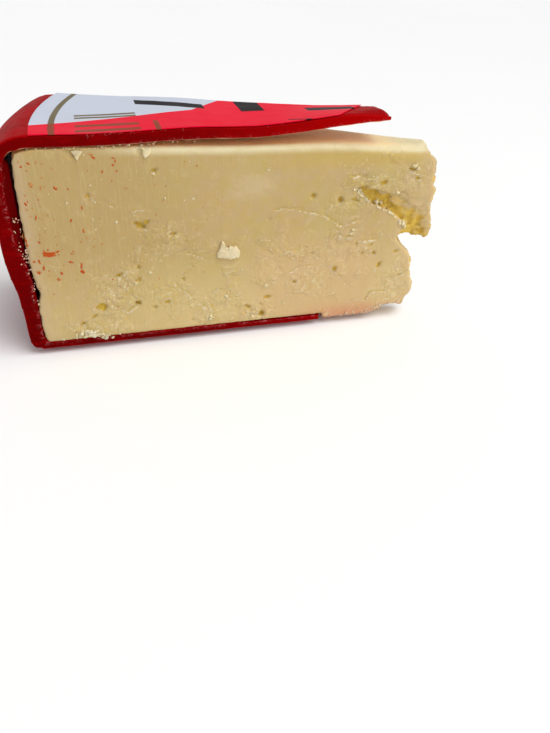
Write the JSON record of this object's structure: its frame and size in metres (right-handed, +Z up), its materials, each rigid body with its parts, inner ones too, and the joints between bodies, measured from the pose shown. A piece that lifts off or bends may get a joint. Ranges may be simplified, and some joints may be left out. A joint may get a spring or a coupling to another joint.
{
  "type": "cheese wedge",
  "caption": "Wedge of pale cheese cut from a wax-dipped wheel, with a crumbled nose and a thick red wax coat whose lid lifts towards the nose under a printed paper label.",
  "frame": {"origin": "middle of the footprint of the whole wedge, at the height of the surface it rests on", "axes": "+X along the front cut towards the nose, with the wax rind at -X; +Y away from the front cut; +Z up"},
  "size_m": [0.1338, 0.0501, 0.0673],
  "materials": {
    "cheese": "moist cut cheese, slightly waxy",
    "wax": "glossy dipped wax with shallow dents",
    "paper": "coated printed paper"
  },
  "bodies": {
    "root": {"cheese": "cheese", "wax_coat": "wax", "paper_label": "paper"}
  },
  "joints": []
}
